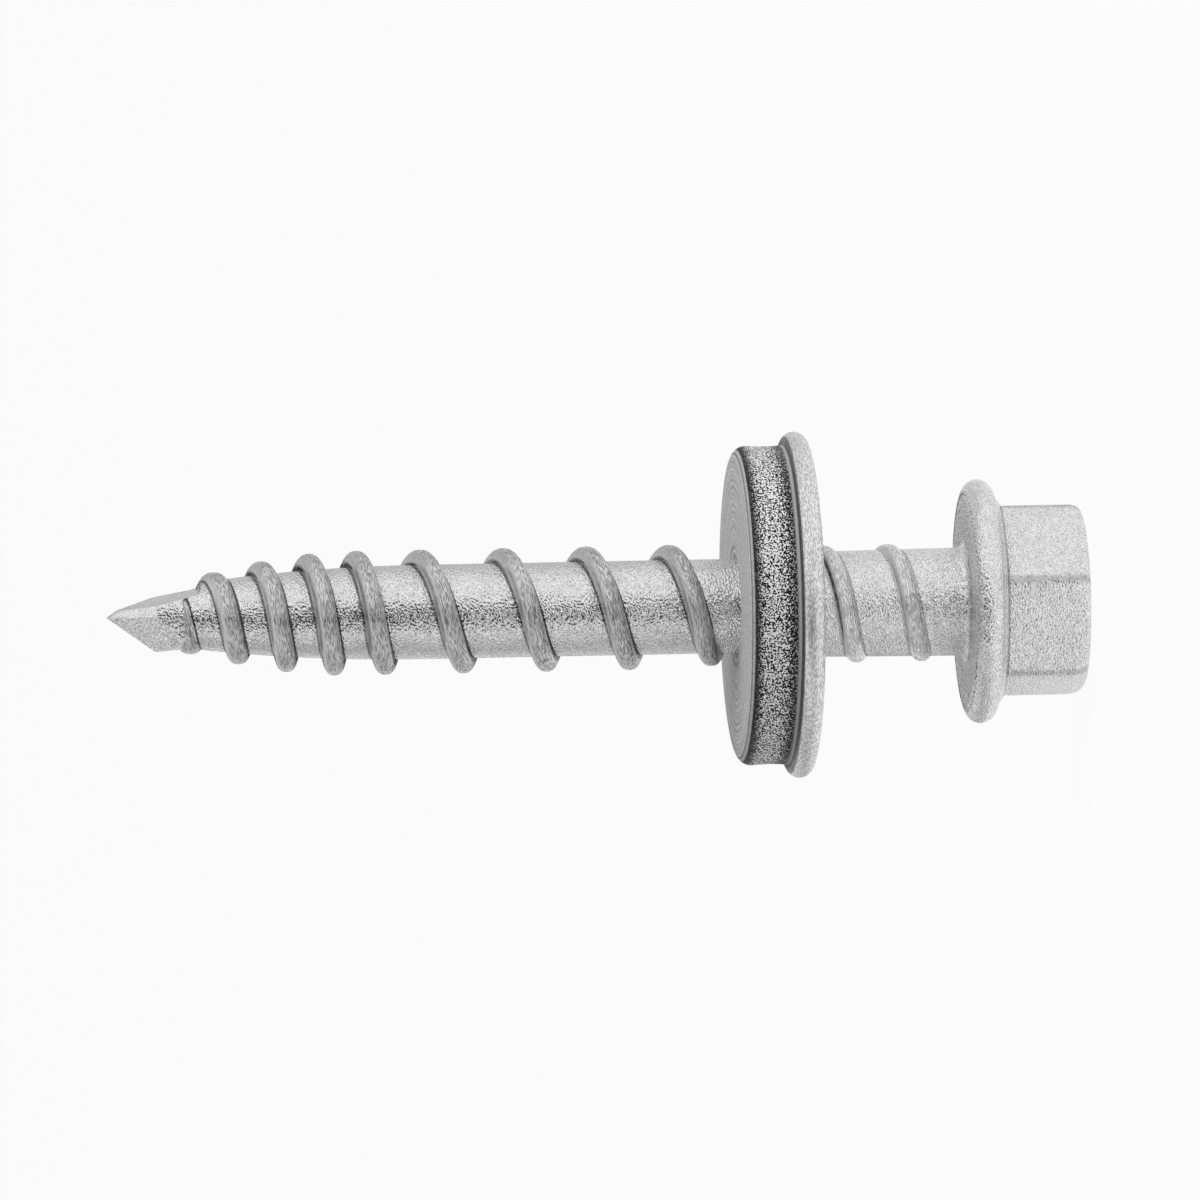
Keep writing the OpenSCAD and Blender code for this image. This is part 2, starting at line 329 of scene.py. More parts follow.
def arc(centre_r, centre_z, radius, start, end, steps):
    """Points of a circle's arc in a half section: centre plus radius times cosine and sine."""
    a = np.radians(np.linspace(start, end, steps + 1))
    return np.stack([centre_r + radius * np.cos(a), centre_z + radius * np.sin(a)], axis=-1)


def line(start, end, steps):
    """Evenly spaced points of a straight stretch of a half section."""
    t = np.linspace(0.0, 1.0, steps + 1)[:, None]
    return np.asarray(start) * (1.0 - t) + np.asarray(end) * t


def join(*stretches):
    """One half section from stretches that follow each other, with no point twice in a row."""
    points = np.concatenate(stretches)
    step = np.linalg.norm(np.diff(points, axis=0), axis=1)
    return points[np.concatenate([[True], step > SAME_POINT])]


def round_columns(count, turn=0.0):
    """Angles of a full turn in equal steps, from the given start."""
    return turn + np.arange(count) * (TURN / count)


def revolve(section, columns):
    """Carries a half section round the Z axis: x = r cos(a), y = r sin(a), z = z."""
    a = round_columns(columns)
    r = section[:, :1]
    z = np.broadcast_to(section[:, 1:], (len(section), columns))
    return np.stack([r * np.cos(a), r * np.sin(a), z], axis=-1)


def grid_mesh(name, points, close_rows=False):
    """Mesh over a grid of rows, columns and xyz that is closed round its columns.

    Each quad joins a point to the next column and the next row. The last row joins the first
    where close_rows asks for it, and otherwise one face closes each end.
    """
    rows, columns, _ = points.shape
    row = np.arange(rows if close_rows else rows - 1)
    i, j = np.meshgrid(row, np.arange(columns), indexing="ij")
    below, above = i * columns, (i + 1) % rows * columns
    after = (j + 1) % columns
    corners = np.stack([below + j, below + after, above + after, above + j], axis=-1).reshape(-1)
    sizes = np.full(i.size, 4)
    if not close_rows:
        ring = np.arange(columns)
        corners = np.concatenate([corners, ring[::-1], ring + (rows - 1) * columns])
        sizes = np.concatenate([sizes, [columns, columns]])
    mesh = bpy.data.meshes.new(name)
    mesh.vertices.add(rows * columns)
    mesh.vertices.foreach_set("co", points.reshape(-1).astype(np.float32))
    mesh.loops.add(len(corners))
    mesh.loops.foreach_set("vertex_index", corners.astype(np.int32))
    mesh.polygons.add(len(sizes))
    mesh.polygons.foreach_set("loop_start", (np.cumsum(sizes) - sizes).astype(np.int32))
    mesh.update(calc_edges=True)
    mesh.validate()
    return mesh


def add_object(name, data):
    """An object at the origin, of a mesh, a lamp or a camera."""
    obj = bpy.data.objects.new(name, data)
    bpy.context.scene.collection.objects.link(obj)
    return obj


def shade_smooth(mesh, sharp_degrees):
    """Smooth shading, broken at edges that turn by more than the given angle."""
    mesh.polygons.foreach_set("use_smooth", np.ones(len(mesh.polygons), dtype=bool))
    mesh.set_sharp_from_angle(angle=math.radians(sharp_degrees))


def combine(name, body, additions, cuts):
    """One closed mesh: the body joined with the additions, less the cuts."""
    steps = [(mesh, "UNION") for mesh in additions] + [(mesh, "DIFFERENCE") for mesh in cuts]
    work = add_object(name, body)
    helpers = []
    for mesh, operation in steps:
        helper = add_object(mesh.name, mesh)
        modifier = work.modifiers.new(mesh.name, "BOOLEAN")
        modifier.operation = operation
        modifier.solver = "MANIFOLD"
        modifier.object = helper
        helpers.append(helper)
    depsgraph = bpy.context.evaluated_depsgraph_get()
    result = bpy.data.meshes.new_from_object(work.evaluated_get(depsgraph))
    result.name = name
    for helper in [work, *helpers]:
        data = helper.data
        bpy.data.objects.remove(helper)
        bpy.data.meshes.remove(data)
    return result


def lower_advance(sizes, n):
    """Distance that the lower thread has advanced after n turns.

    The point's pitch times n, plus the gain in pitch times the turns since it widened, where
    the widening itself counts as its square over twice its length.
    """
    widening = sizes.widening_turns
    widened = np.clip(n - sizes.point_turns, 0.0, widening)
    full = np.maximum(n - sizes.point_turns - widening, 0.0)
    gain = sizes.thread_pitch - sizes.point_pitch
    return sizes.point_pitch * n + gain * (widened**2 / (2.0 * widening) + full)


def core_radius(sizes, z):
    """Radius of the tapered core and of the pilot beyond it.

    The full radius, less the taper times a square law, plus the pilot's own slope past its heel.
    """
    full_z = sizes.tip_z - sizes.core_taper
    start_z = sizes.tip_z - sizes.pilot_length
    t = np.clip((z - full_z) / (start_z - full_z), 0.0, 1.0)
    along_pilot = np.maximum(z - start_z, 0.0) / (sizes.pilot_length - sizes.cone_length)
    taper = (sizes.pilot_end_r - sizes.core_r) * t**2
    return sizes.core_r + taper + (sizes.pilot_r - sizes.pilot_end_r) * along_pilot


def lower_crest(sizes, z):
    """Radius of the lower thread's crest: a quarter sine from the pilot's radius to the full one."""
    start_z = sizes.tip_z - sizes.pilot_length
    t = np.minimum((start_z - z) / (sizes.crest_taper - sizes.pilot_length), 1.0)
    return sizes.crest_start_r + (sizes.thread_r - sizes.crest_start_r) * np.sin(t * np.pi / 2.0)


def lower_turns(sizes):
    """Turns that bring the lower thread from the pilot to the grip."""
    room = sizes.tip_z - sizes.pilot_length - sizes.grip_z - sizes.ridge_width / 4.0
    widened = sizes.point_turns + sizes.widening_turns
    return widened + (room - lower_advance(sizes, widened)) / sizes.thread_pitch


def ridge_share(sizes, n, start, end):
    """Share of a ridge's full height: a smooth step up after its start and down before its end."""
    return smooth_step((n - start) / sizes.run_in) * smooth_step((end - n) / sizes.run_out)


def ridge(sizes, n, start_angle, z, base_r, crest_r, width):
    """Closed rings along a helix: half superellipses whose bases lie below the core's surface.

    With q as 2 over the section's power, the radius is the base plus the height times the sine
    to the power q, and the place along Z is the helix plus half the width times the cosine to
    the power q, with its sign. The height fades at both ends.
    """
    share = ridge_share(sizes, n, n[0], n[-1])
    height = (crest_r - base_r) * share - sizes.sink / 2.0 * (1.0 - share)
    a = np.linspace(0.0, np.pi, sizes.crest_steps + 1)
    q = 2.0 / sizes.ridge_power
    rise = np.abs(np.sin(a)) ** q
    across = -np.sign(np.cos(a)) * np.abs(np.cos(a)) ** q
    theta = (start_angle - TURN * n)[:, None]
    r = (base_r - sizes.sink)[:, None] + (height + sizes.sink)[:, None] * rise
    along = z[:, None] + width / 2.0 * across
    return np.stack([r * np.cos(theta), r * np.sin(theta), along], axis=-1)


def ridge_turns(sizes, start, end):
    """Evenly spaced turns from the start to the end of a ridge."""
    return np.linspace(start, end, math.ceil((end - start) * sizes.ring_count) + 1)


def lower_z(sizes, n):
    """Height of the lower thread after n turns."""
    return sizes.tip_z - sizes.pilot_length - lower_advance(sizes, n)


def upper_z(sizes, n):
    """Height of the upper thread after n turns."""
    end_z = sizes.hex_height + sizes.flange_t + sizes.upper_gap
    return end_z + (sizes.upper_turns - n) * sizes.upper_pitch


def lower_ridge(sizes):
    """The lower thread, which starts at the slash cut and leaves the pilot opposite it."""
    n = ridge_turns(sizes, -sizes.lead_in, lower_turns(sizes))
    z = lower_z(sizes, n)
    start = TURN * LOWER_START
    return ridge(sizes, n, start, z, core_radius(sizes, z), lower_crest(sizes, z), sizes.ridge_width)


def upper_ridge(sizes):
    """The upper thread, which starts behind the washer and ends before the flange."""
    n = ridge_turns(sizes, 0.0, sizes.upper_turns)
    z = upper_z(sizes, n)
    base_r = np.full_like(z, sizes.shank_r)
    crest_r = np.full_like(z, sizes.upper_thread_r)
    start = -TURN * sizes.upper_start
    return ridge(sizes, n, start, z, base_r, crest_r, sizes.upper_ridge_width)


def thread_phase(sizes, z):
    """For each height: the thread's turn, its pitch, and half the width of its ridge there.

    The turn plus the angle about the axis, as a share of a full turn, is a whole number on the
    middle of a ridge. The half width is 0 where there is no ridge.
    """
    n = np.linspace(-sizes.lead_in, lower_turns(sizes), THREAD_SAMPLES)
    upper_ends = np.array([0.0, sizes.upper_turns])
    lower_n = np.interp(-z, -lower_z(sizes, n), n)
    upper_n = np.interp(-z, -upper_z(sizes, upper_ends), upper_ends)
    lower_pitch = np.interp(lower_n, n, np.gradient(-lower_z(sizes, n), n))
    is_lower = z > sizes.grip_z - sizes.shoulder
    turn = np.where(is_lower, lower_n - LOWER_START, upper_n + sizes.upper_start)
    pitch = np.where(is_lower, lower_pitch, sizes.upper_pitch)
    lower_share = ridge_share(sizes, lower_n, n[0], n[-1])
    upper_share = ridge_share(sizes, upper_n, 0.0, sizes.upper_turns)
    width = np.where(is_lower, lower_share * sizes.ridge_width, upper_share * sizes.upper_ridge_width)
    return np.stack([turn, pitch, width / 2.0], axis=-1)


def write_thread_phase(mesh, sizes):
    """Stores the thread's turn, pitch and half width on each vertex of the screw."""
    points = np.empty(len(mesh.vertices) * 3, dtype=np.float32)
    mesh.vertices.foreach_get("co", points)
    values = thread_phase(sizes, points.reshape(-1, 3)[:, 2].astype(float))
    attribute = mesh.attributes.new("thread", "FLOAT_VECTOR", "POINT")
    attribute.data.foreach_set("vector", values.reshape(-1).astype(np.float32))


def hex_corner_r(sizes):
    """Radius over the hexagon's rounded corners."""
    return sizes.hex_af / 2.0 / math.cos(SIXTH / 2.0) - sizes.hex_corner_cut


def shank_section(sizes):
    """Half section of the flange, neck, upper shank, core and point, from the head upwards."""
    corner = hex_corner_r(sizes)
    bearing = sizes.hex_height + sizes.flange_t
    rim = sizes.flange_rim
    rim_r = sizes.flange_r - rim
    rim_end = 86.0
    fillet = sizes.flange_fillet
    crease = sizes.flange_crease
    hidden_share = 0.7
    hidden_r = sizes.hex_af / 2.0 * hidden_share
    core_full_z = sizes.tip_z - sizes.core_taper
    start_z = sizes.tip_z - sizes.pilot_length
    cone_z = sizes.tip_z - sizes.cone_length
    taper_points = 60
    taper_z = np.linspace(core_full_z, start_z, taper_points)
    tip_r = 0.004 * MM
    return join(
        line((hidden_r, sizes.hex_height / 2.0), (hidden_r, sizes.hex_height), steps=2),
        line((hidden_r, sizes.hex_height), (corner, sizes.hex_height), steps=6),
        line((corner, sizes.hex_height), (rim_r, bearing - 2.0 * rim), steps=6),
        arc(rim_r, bearing - rim, rim, -90.0, rim_end, steps=28),
        line((rim_r - crease / 2.0, bearing - crease / 3.0), (rim_r - crease, bearing), steps=1),
        line((rim_r - crease, bearing), (sizes.neck_r + fillet, bearing), steps=12),
        arc(sizes.neck_r + fillet, bearing + fillet, fillet, -90.0, -180.0, steps=10),
        line((sizes.neck_r, bearing + fillet), (sizes.shank_r, sizes.grip_z - sizes.shoulder), steps=60),
        line((sizes.shank_r, sizes.grip_z - sizes.shoulder), (sizes.core_r, sizes.grip_z), steps=8),
        line((sizes.core_r, sizes.grip_z), (sizes.core_r, core_full_z), steps=80),
        np.stack([core_radius(sizes, taper_z), taper_z], axis=-1),
        line((sizes.pilot_end_r, start_z), (sizes.pilot_r, cone_z), steps=10),
        line((sizes.pilot_r, cone_z), (tip_r, sizes.tip_z), steps=24),
    )


def hex_surface(sizes):
    """The hexagon: a round section cut by six flats.

    The radius at each angle is the smaller of the round section and the flat's distance over
    the cosine of the angle from its middle, with the two blended over a small width.
    """
    corner = hex_corner_r(sizes)
    cap_share = 0.4
    end = sizes.hex_round
    top = sizes.hex_height + sizes.flange_t - sizes.flange_rim
    section = join(
        line((corner * cap_share, 0.0), (corner - end, 0.0), steps=4),
        arc(corner - end, end, end, -90.0, 0.0, steps=12),
        line((corner, end), (corner, top), steps=16),
    )
    a = round_columns(sizes.columns, sizes.hex_turn)
    from_middle = (a - sizes.hex_turn) % SIXTH - SIXTH / 2.0
    flat = sizes.hex_af / 2.0 / np.cos(from_middle)
    r = section[:, :1]
    softened = 0.5 * (r + flat - np.sqrt((r - flat) ** 2 + sizes.hex_blend**2))
    radius = np.where(r < corner - end, r, softened)
    z = np.broadcast_to(section[:, 1:], radius.shape)
    return np.stack([radius * np.cos(a), radius * np.sin(a), z], axis=-1)


def point_wedge(sizes, cut_length, slope, turn, offset):
    """The wedge that one cut takes off the point: a four-sided section carried across it.

    One side follows the slope from above the tip, at the offset from the axis, and the end wall
    leans out by 1 in 2. The wedge is then turned about the axis.
    """
    rise = math.tan(slope)
    run = cut_length * rise
    reach = 2.0 * sizes.thread_r
    margin = 1.0 * MM
    x = offset + np.array([[run + reach, run + reach, run, -margin * rise]])
    z = sizes.tip_z + np.array([[margin, -cut_length - reach / 2.0, -cut_length, margin]])
    y = np.array([[-sizes.thread_r], [sizes.thread_r]])
    c, s = math.cos(turn), math.sin(turn)
    across = c * x - s * y
    return np.stack([across, s * x + c * y, np.broadcast_to(z, across.shape)], axis=-1)


def slash_wedge(sizes):
    """The slash cut that opens one side of the point."""
    return point_wedge(sizes, sizes.slash_length, sizes.slash_slope, sizes.slash_turn, sizes.slash_offset)


def facet_wedge(sizes):
    """The facet beside the slash cut, which ends where its plane leaves the pilot."""
    return point_wedge(sizes, sizes.facet_length, sizes.facet_slope, sizes.facet_turn, sizes.facet_offset)


def plate_section(sizes):
    """Closed half section of the plate: full-round rim, bore and chamfer."""
    r = (PLATE_HIGH.x - PLATE_LOW.x) / 2.0
    low, high = PLATE_LOW.z, PLATE_HIGH.z
    rim = (high - low) / 2.0
    chamfer = sizes.plate_chamfer
    return join(
        line((sizes.bore_r + chamfer, low), (r - rim, low), steps=12),
        arc(r - rim, low + rim, rim, -90.0, 90.0, steps=32),
        line((r - rim, high), (sizes.bore_r, high), steps=12),
        line((sizes.bore_r, high), (sizes.bore_r, low + chamfer), steps=4),
        line((sizes.bore_r, low + chamfer), (sizes.bore_r + chamfer, low), steps=4)[:-1],
    )


def seal_section(sizes):
    """Closed half section of the seal: hollow side, round front edge, face and bore."""
    r = (SEAL_HIGH.x - SEAL_LOW.x) / 2.0
    low, high = SEAL_LOW.z, SEAL_HIGH.z
    edge = sizes.seal_edge
    side = high - low - edge
    waist = sizes.seal_waist
    hollow_r = (side**2 / 4.0 + waist**2) / (2.0 * waist)
    half = math.degrees(math.asin(side / 2.0 / hollow_r))
    return join(
        line((sizes.bore_r, low), (r, low), steps=12),
        arc(r - waist + hollow_r, low + side / 2.0, hollow_r, 180.0 + half, 180.0 - half, steps=24),
        arc(r - edge, high - edge, edge, 0.0, 90.0, steps=14),
        line((r - edge, high), (sizes.bore_r, high), steps=16),
        line((sizes.bore_r, high), (sizes.bore_r, low), steps=6)[:-1],
    )


def lip_section(sizes):
    """Closed half section of the soft lip inside the seal's bore: flat, with a round inner edge."""
    half = sizes.lip_t / 2.0
    middle = SEAL_HIGH.z - sizes.lip_step - half
    root_r = sizes.bore_r + sizes.lip_root
    edge_r = sizes.lip_r + half
    return join(
        line((root_r, middle - half), (root_r, middle + half), steps=2),
        line((root_r, middle + half), (edge_r, middle + half), steps=4),
        arc(edge_r, middle, half, 90.0, 270.0, steps=12),
        line((edge_r, middle - half), (root_r, middle - half), steps=4)[:-1],
    )


def lip_half(sizes, facing):
    """Half of the lip's ring: its section carried through half a turn about the facing angle."""
    a = np.linspace(facing + TURN / 4.0, facing - TURN / 4.0, sizes.columns // 2 + 1)[:, None]
    section = lip_section(sizes)
    r = section[:, 0]
    z = np.broadcast_to(section[:, 1], (len(a), len(section)))
    return np.stack([r * np.cos(a), r * np.sin(a), z], axis=-1)


def add_node(tree, kind, inputs=None, **settings):
    """Adds a node with its settings. An input that is a socket is linked, and any other is set."""
    node = tree.nodes.new(kind)
    for key, value in settings.items():
        setattr(node, key, value)
    for key, value in (inputs or {}).items():
        if isinstance(value, bpy.types.NodeSocket):
            tree.links.new(value, node.inputs[key])
        else:
            node.inputs[key].default_value = value
    return node


def maths(tree, operation, *values):
    """The result of a Math node on numbers or sockets."""
    return add_node(tree, "ShaderNodeMath", dict(enumerate(values)), operation=operation).outputs[0]


def product(tree, first, *others):
    """The product of numbers or sockets."""
    for other in others:
        first = maths(tree, "MULTIPLY", first, other)
    return first


def without(tree, mask, depth=1.0):
    """One less a mask times a depth."""
    return maths(tree, "MULTIPLY_ADD", mask, -depth, 1.0)


def away_from(tree, value, level):
    """Distance of a value from a level, to either side."""
    return maths(tree, "ABSOLUTE", maths(tree, "SUBTRACT", value, level))


def between(tree, mask, first, second):
    """A value that goes from the first to the second as a mask goes from 0 to 1."""
    return maths(tree, "MULTIPLY_ADD", mask, maths(tree, "SUBTRACT", second, first), first)


def ramp(tree, value, low, high, to_low=0.0, to_high=1.0):
    """A smooth step from one level to another as a value goes from its low to its high limit."""
    node = add_node(
        tree, "ShaderNodeMapRange",
        {"Value": value, "From Min": low, "From Max": high, "To Min": to_low, "To Max": to_high},
        interpolation_type="SMOOTHSTEP",
    )
    return node.outputs["Result"]


def fade(tree, value, low, high, level=1.0):
    """A smooth step from a level down to 0 as a value goes from its low to its high limit."""
    return ramp(tree, value, low, high, level, 0.0)


def graded(tree, mask, low, high=1.0):
    """A smooth step from one level to another as a mask goes from 0 to 1."""
    return ramp(tree, mask, 0.0, 1.0, low, high)


def blend(tree, factor, first, second):
    """A colour between two others."""
    inputs = {0: factor, 6: opaque(first), 7: opaque(second)}
    return add_node(tree, "ShaderNodeMix", inputs, data_type="RGBA").outputs[2]


def object_place(tree):
    """The X, Y and Z outputs of the piece's own coordinates."""
    place = add_node(tree, "ShaderNodeTexCoord").outputs["Object"]
    return add_node(tree, "ShaderNodeSeparateXYZ", {0: place}).outputs


def new_material(name):
    """An empty node material and its tree."""
    material = bpy.data.materials.new(name)
    material.use_nodes = True
    material.node_tree.nodes.clear()
    return material, material.node_tree


def opaque(colour):
    """A set colour with full alpha, or a colour socket as it is."""
    return colour if isinstance(colour, bpy.types.NodeSocket) else (*colour, 1.0)


def rolled_grain_group():
    """Group: a fine grain drawn out round the axis and broad lumps, as values from 0 to 1.

    The height that the grain reads is z less the lead times the angle as a share of a turn, so
    that the grain lies along the thread.
    """
    group = bpy.data.node_groups.new(GRAIN_GROUP, "ShaderNodeTree")
    for name in ("Grain Size", "Stretch", "Lead"):
        group.interface.new_socket(name, in_out="INPUT", socket_type="NodeSocketFloat")
    for name in ("Grain", "Lumps", "Height"):
        group.interface.new_socket(name, in_out="OUTPUT", socket_type="NodeSocketFloat")
    enter = add_node(group, "NodeGroupInput").outputs
    place = object_place(group)
    back = maths(group, "MULTIPLY", place["Y"], -1.0)
    turn = maths(group, "DIVIDE", maths(group, "ARCTAN2", place["X"], back), -TURN)
    climb = maths(group, "MULTIPLY_ADD", turn, enter["Lead"], place["Z"])
    fine = maths(group, "DIVIDE", 1.0, enter["Grain Size"])
    drawn = maths(group, "DIVIDE", fine, enter["Stretch"])
    point = add_node(
        group, "ShaderNodeCombineXYZ",
        {
            "X": product(group, place["X"], drawn),
            "Y": product(group, place["Y"], drawn),
            "Z": product(group, climb, fine),
        },
    ).outputs[0]
    fine_noise = add_node(
        group, "ShaderNodeTexNoise", {"Vector": point, "Scale": 1.0, "Detail": 0.0}
    ).outputs["Fac"]
    broad_noise = add_node(
        group, "ShaderNodeTexNoise", {"Vector": point, "Scale": 0.16, "Detail": 3.0, "Roughness": 0.5}
    ).outputs["Fac"]
    outputs = {
        "Grain": ramp(group, fine_noise, *GRAIN_LIMITS),
        "Lumps": ramp(group, broad_noise, *LUMP_LIMITS),
        "Height": maths(group, "MULTIPLY_ADD", broad_noise, LUMP_HEIGHT, fine_noise),
    }
    add_node(group, "NodeGroupOutput", outputs)
    return group


def add_grain(tree, size, stretch, lead):
    """Places the grain group in a material, which makes the group the first time."""
    group = bpy.data.node_groups.get(GRAIN_GROUP) or rolled_grain_group()
    values = {"Grain Size": size, "Stretch": stretch, "Lead": lead}
    return add_node(tree, "ShaderNodeGroup", values, node_tree=group).outputs


def stored_thread(tree):
    """The screw's thread attribute: the turn as X, the pitch as Y and half the ridge's width as Z."""
    stored = add_node(tree, "ShaderNodeAttribute", attribute_name="thread").outputs["Vector"]
    return add_node(tree, "ShaderNodeSeparateXYZ", {0: stored}).outputs


def ridge_place(tree, thread):
    """Distance along the axis from the middle of the nearest ridge, half its width, and its presence.

    The turn in the thread attribute plus the angle's share of a turn is whole on the middle of a
    ridge, so its distance from the nearest whole number, times the pitch, is the distance.
    """
    place = object_place(tree)
    share = maths(tree, "DIVIDE", maths(tree, "ARCTAN2", place["Y"], place["X"]), TURN)
    phase = maths(tree, "ADD", thread["X"], share)
    offset = maths(tree, "SUBTRACT", phase, maths(tree, "ROUND", phase))
    return product(tree, offset, thread["Y"]), thread["Z"], ramp(tree, thread["Z"], *RIDGE_SHOWS)


def root_shade_line(tree, distance, half, present):
    """Mask of the thin lines of painted shade along a ridge's roots, which are fainter on the point's side.
    """
    head_shade = fade(tree, away_from(tree, distance, half), *HEAD_ROOT)
    tip_gap = maths(tree, "ABSOLUTE", maths(tree, "ADD", distance, half))
    tip_shade = fade(tree, tip_gap, *TIP_ROOT, TIP_ROOT_SHADE_DEPTH)
    return product(tree, maths(tree, "MAXIMUM", head_shade, tip_shade), present)


def tip_flank(tree, distance, half, present):
    """Mask of a ridge's flank on the point's side, which the rolling left smooth and whose tone is darkened
    as painted shade.
    """
    across = maths(tree, "DIVIDE", distance, half)
    return product(tree, ramp(tree, across, *FLANK_OUTER), fade(tree, across, *FLANK_INNER), present)


def ridge_crest(tree, distance, half, present):
    """Mask of a ridge's crest."""
    across = maths(tree, "DIVIDE", maths(tree, "ABSOLUTE", distance), half)
    return product(tree, fade(tree, across, *CREST_LIMITS), present)


def surface(tree, relief, height, strength=1.0, **inputs):
    """Finishes a material: one shader with the given inputs, whose grain stands up by the relief."""
    bump = {"Height": height, "Strength": strength, "Distance": relief}
    inputs["Normal"] = add_node(tree, "ShaderNodeBump", bump).outputs["Normal"]
    shader = add_node(tree, "ShaderNodeBsdfPrincipled", inputs)
    add_node(tree, "ShaderNodeOutputMaterial", {"Surface": shader.outputs["BSDF"]})


def hexagon_shade_line(tree, sizes):
    """Mask of the painted shade lines along the hexagon's edges and along the seam where it meets the
    flange.

    The angle from the nearest corner, times the radius over the corners, is the distance from an
    edge.
    """
    place = object_place(tree)
    around = maths(tree, "ARCTAN2", place["Y"], place["X"])
    sixths = maths(tree, "DIVIDE", maths(tree, "SUBTRACT", around, sizes.hex_turn), SIXTH)
    off_corner = away_from(tree, sixths, maths(tree, "ROUND", sixths))
    off_edge = product(tree, off_corner, hex_corner_r(sizes) * SIXTH)
    # Painted shade along the hexagon's edges and in its seam with the flange.
    edge = fade(tree, off_edge, *HEX_EDGE, HEX_EDGE_SHADE)
    below = fade(tree, place["Z"], sizes.hex_height - HEX_EDGE_END, sizes.hex_height)
    seam = fade(tree, away_from(tree, place["Z"], sizes.hex_height), *HEX_SEAM, HEX_SEAM_SHADE)
    return maths(tree, "MAXIMUM", product(tree, edge, below), seam)


def screw_zinc(colours, sizes):
    """The screw's frosted zinc, with pits, dents and dark lines of painted shade.

    The ridges have their grain drawn out along them and a smooth flank on the point's side, darkened
    as painted shade. The lower thread's crest is duller and more deeply scored. Lines of painted shade
    run along the ridges' roots, the hexagon's edges and its seam.
    """
    material, tree = new_material("screw_zinc")
    thread = stored_thread(tree)
    grain = add_grain(tree, colours.grain, CORE_STRETCH, sizes.thread_pitch)
    streaks = add_grain(tree, colours.streak, STREAK_STRETCH, thread["Y"])
    dents = add_grain(tree, colours.dent, DENT_STRETCH, sizes.thread_pitch)
    ridge_at = ridge_place(tree, thread)
    crest = ridge_crest(tree, *ridge_at)
    flank = tip_flank(tree, *ridge_at)
    z = object_place(tree)["Z"]
    lower = ramp(tree, z, sizes.grip_z - sizes.shoulder, sizes.grip_z + sizes.shoulder)
    worn = product(tree, crest, lower)
    pit_depth = maths(tree, "MULTIPLY_ADD", worn, CREST_PITS, CORE_PITS)
    drawn = between(tree, crest, grain["Grain"], streaks["Grain"])
    pits = product(tree, fade(tree, drawn, *PIT_LIMITS), pit_depth, without(tree, flank, FLANK_PITS))
    # Painted shade: thin dark lines along the ridges' roots, fainter on the point's side.
    line_depth = maths(tree, "MULTIPLY_ADD", lower, LOWER_ROOT_SHADE, UPPER_ROOT_SHADE)
    lines = product(tree, root_shade_line(tree, *ridge_at), line_depth)
    # Tone from pits, lumps and crest wear, and painted shade from the root lines, the hexagon's lines and
    # the darker point-side flank.
    tone = product(
        tree, without(tree, pits), graded(tree, grain["Lumps"], LUMP_TONE),
        maths(tree, "MULTIPLY_ADD", worn, -CREST_DULL, without(tree, flank, FLANK_SHADE)),
        without(tree, lines), without(tree, hexagon_shade_line(tree, sizes)),
    )
    colour = blend(tree, tone, colours.zinc_dark, colours.zinc_light)
    rough = maths(tree, "MULTIPLY_ADD", worn, CREST_ROUGH, graded(tree, grain["Lumps"], *SCREW_ROUGH))
    height = between(tree, crest, dents["Height"], streaks["Height"])
    strength = without(tree, flank, FLANK_RELIEF)
    metal = {"Base Color": colour, "Roughness": rough, "Metallic": 0.9}
    surface(tree, colours.screw_relief, height, strength, **metal)
    return material


def plate_zinc(colours):
    """The plate's zinc: paler and smoother than the screw's, with a painted contact shadow where the seal is
    bonded.
    """
    material, tree = new_material("plate_zinc")
    grain = add_grain(tree, colours.grain, PLATE_STRETCH, 0.0)
    clean = without(tree, without(tree, grain["Grain"]), PLATE_PITS)
    below_seal, at_seal = PLATE_CONTACT_SHADE
    z = object_place(tree)["Z"]
    # Painted contact shadow on the plate where the seal sits.
    contact_shade = ramp(tree, z, PLATE_HIGH.z - below_seal, PLATE_HIGH.z - at_seal, 1.0, PLATE_CONTACT_SHADE_TONE)
    colour = blend(tree, product(tree, clean, contact_shade), colours.zinc_dark, colours.zinc_light)
    rough = graded(tree, grain["Lumps"], *PLATE_ROUGH)
    metal = {"Base Color": colour, "Roughness": rough, "Metallic": 0.9}
    surface(tree, colours.plate_relief, grain["Height"], **metal)
    return material


def axis_distance(tree, place):
    """Distance from the Z axis: the root of x squared plus y squared."""
    square = product(tree, place["X"], place["X"])
    return maths(tree, "SQRT", maths(tree, "MULTIPLY_ADD", place["Y"], place["Y"], square))


def moulded_rings(tree, radius, width):
    """Tone of the fine rings that the mould left on the seal's face: a noise of the radius."""
    inputs = {"W": maths(tree, "DIVIDE", radius, width), "Scale": 1.0, "Detail": 2.0}
    rings = add_node(tree, "ShaderNodeTexNoise", inputs, noise_dimensions="1D")
    return ramp(tree, rings.outputs["Fac"], *LUMP_LIMITS, RING_TONE, 1.0)


